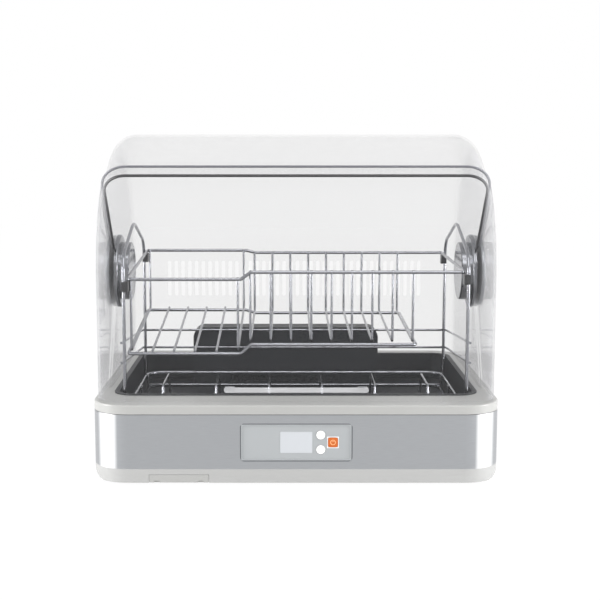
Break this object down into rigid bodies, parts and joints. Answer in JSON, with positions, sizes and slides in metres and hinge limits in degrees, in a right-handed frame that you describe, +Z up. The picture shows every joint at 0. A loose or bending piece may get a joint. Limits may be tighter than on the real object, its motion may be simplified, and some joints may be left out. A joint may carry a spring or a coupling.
{
  "type": "dish sterilizer cabinet",
  "caption": "Countertop dish drying cabinet with a clear domed flip-up door, chrome wire racks, a steel-banded base, a control panel and a drip drawer.",
  "frame": {"origin": "bottom centre of the base's footprint, on the plane of the feet", "axes": "+Z up, +X to the right seen from the front, front at -Y"},
  "size_m": [0.47, 0.3646, 0.3987],
  "materials": {
    "pan_plastic": "light grey moulded plastic",
    "rim_plastic": "light grey moulded plastic",
    "band_steel": "brushed sideways",
    "foot_rubber": "matte",
    "tray_plastic": "fine grain",
    "duct_plastic": "fine grain",
    "clear_shell": "clear, polished",
    "clear_door": "clear, polished",
    "clear_handle": "clear, polished",
    "chrome_wire": "polished",
    "chrome_hinge": "polished",
    "cap_satin": "satin",
    "pin_steel": "turned",
    "washer_nylon": "plain",
    "clip_plastic": "plain",
    "panel_plastic": "silver paint",
    "display_window": "blank window",
    "button_white": "plain",
    "button_orange": "plain",
    "board_green": "solder mask",
    "heater_aluminium": "bare fins",
    "fan_plastic": "plain",
    "screw_steel": "zinc plated",
    "inner_plastic": "plain"
  },
  "bodies": {
    "cabinet": {"foot_front_left": "foot_rubber", "foot_front_right": "foot_rubber", "foot_back_left": "foot_rubber", "foot_back_right": "foot_rubber", "pan": "pan_plastic", "drawer_guide": "inner_plastic", "band": "band_steel", "cord_gland": "clip_plastic", "rim": "rim_plastic", "base_screws": "screw_steel", "tray": "tray_plastic", "drain_tube": "inner_plastic", "heater_duct": "duct_plastic", "heater_block": "heater_aluminium", "fan_frame": "fan_plastic", "fan_shroud": "inner_plastic", "bezel": "panel_plastic", "display": "display_window", "control_board": "board_green", "power_board": "board_green", "rear_shell": "clear_shell", "hinge_pin_left": "pin_steel", "inner_cap_left": "chrome_hinge", "chrome_ring_left": "chrome_hinge", "hinge_washer_left": "washer_nylon", "outer_cap_left": "cap_satin", "hinge_pin_right": "pin_steel", "inner_cap_right": "chrome_hinge", "chrome_ring_right": "chrome_hinge", "hinge_washer_right": "washer_nylon", "outer_cap_right": "cap_satin"},
    "door": {"front_door": "clear_door", "door_handle": "clear_handle", "door_bush_left": "washer_nylon", "door_bush_right": "washer_nylon"},
    "drawer": {"drip_drawer": "rim_plastic"},
    "upper_key": {"button_upper": "button_white"},
    "lower_key": {"button_lower": "button_white"},
    "power_key": {"button_power": "button_orange"},
    "fan": {"fan_rotor": "fan_plastic"},
    "bottom_rack": {"lower_rack": "chrome_wire", "rack_cross_wires": "chrome_wire", "bowl_dividers": "chrome_wire", "hoop_left": "chrome_wire", "hoop_right": "chrome_wire", "rear_rails": "chrome_wire", "rack_clips": "clip_plastic"},
    "top_rack": {"upper_rack_frame": "chrome_wire", "plate_dividers": "chrome_wire", "left_basket": "chrome_wire"}
  },
  "joints": [
    {"name": "door_flip", "type": "hinge", "parent": "cabinet", "child": "door", "pos_m": [0, 0, 0.2274], "axis": [-1, 0, 0], "range_deg": [0, 100]},
    {"name": "drawer_slide", "type": "slide", "parent": "cabinet", "child": "drawer", "axis": [0, -1, 0], "range_m": [0, 0.1]},
    {"name": "upper_key_press", "type": "slide", "parent": "cabinet", "child": "upper_key", "axis": [0, 1, 0], "range_m": [0, 0.0008], "stiffness_N_per_m": 300},
    {"name": "lower_key_press", "type": "slide", "parent": "cabinet", "child": "lower_key", "axis": [0, 1, 0], "range_m": [0, 0.0008], "stiffness_N_per_m": 300},
    {"name": "power_key_press", "type": "slide", "parent": "cabinet", "child": "power_key", "axis": [0, 1, 0], "range_m": [0, 0.0008], "stiffness_N_per_m": 300},
    {"name": "fan_spin", "type": "hinge", "parent": "cabinet", "child": "fan", "pos_m": [-0.012, 0.1135, 0.03], "axis": [0, 0, 1], "continuous": true},
    {"name": "bottom_rack_lift", "type": "slide", "parent": "cabinet", "child": "bottom_rack", "axis": [0, 0, 1], "range_m": [0, 0.012]},
    {"name": "top_rack_lift", "type": "slide", "parent": "bottom_rack", "child": "top_rack", "axis": [0, 0, 1], "range_m": [0, 0.012]}
  ]
}
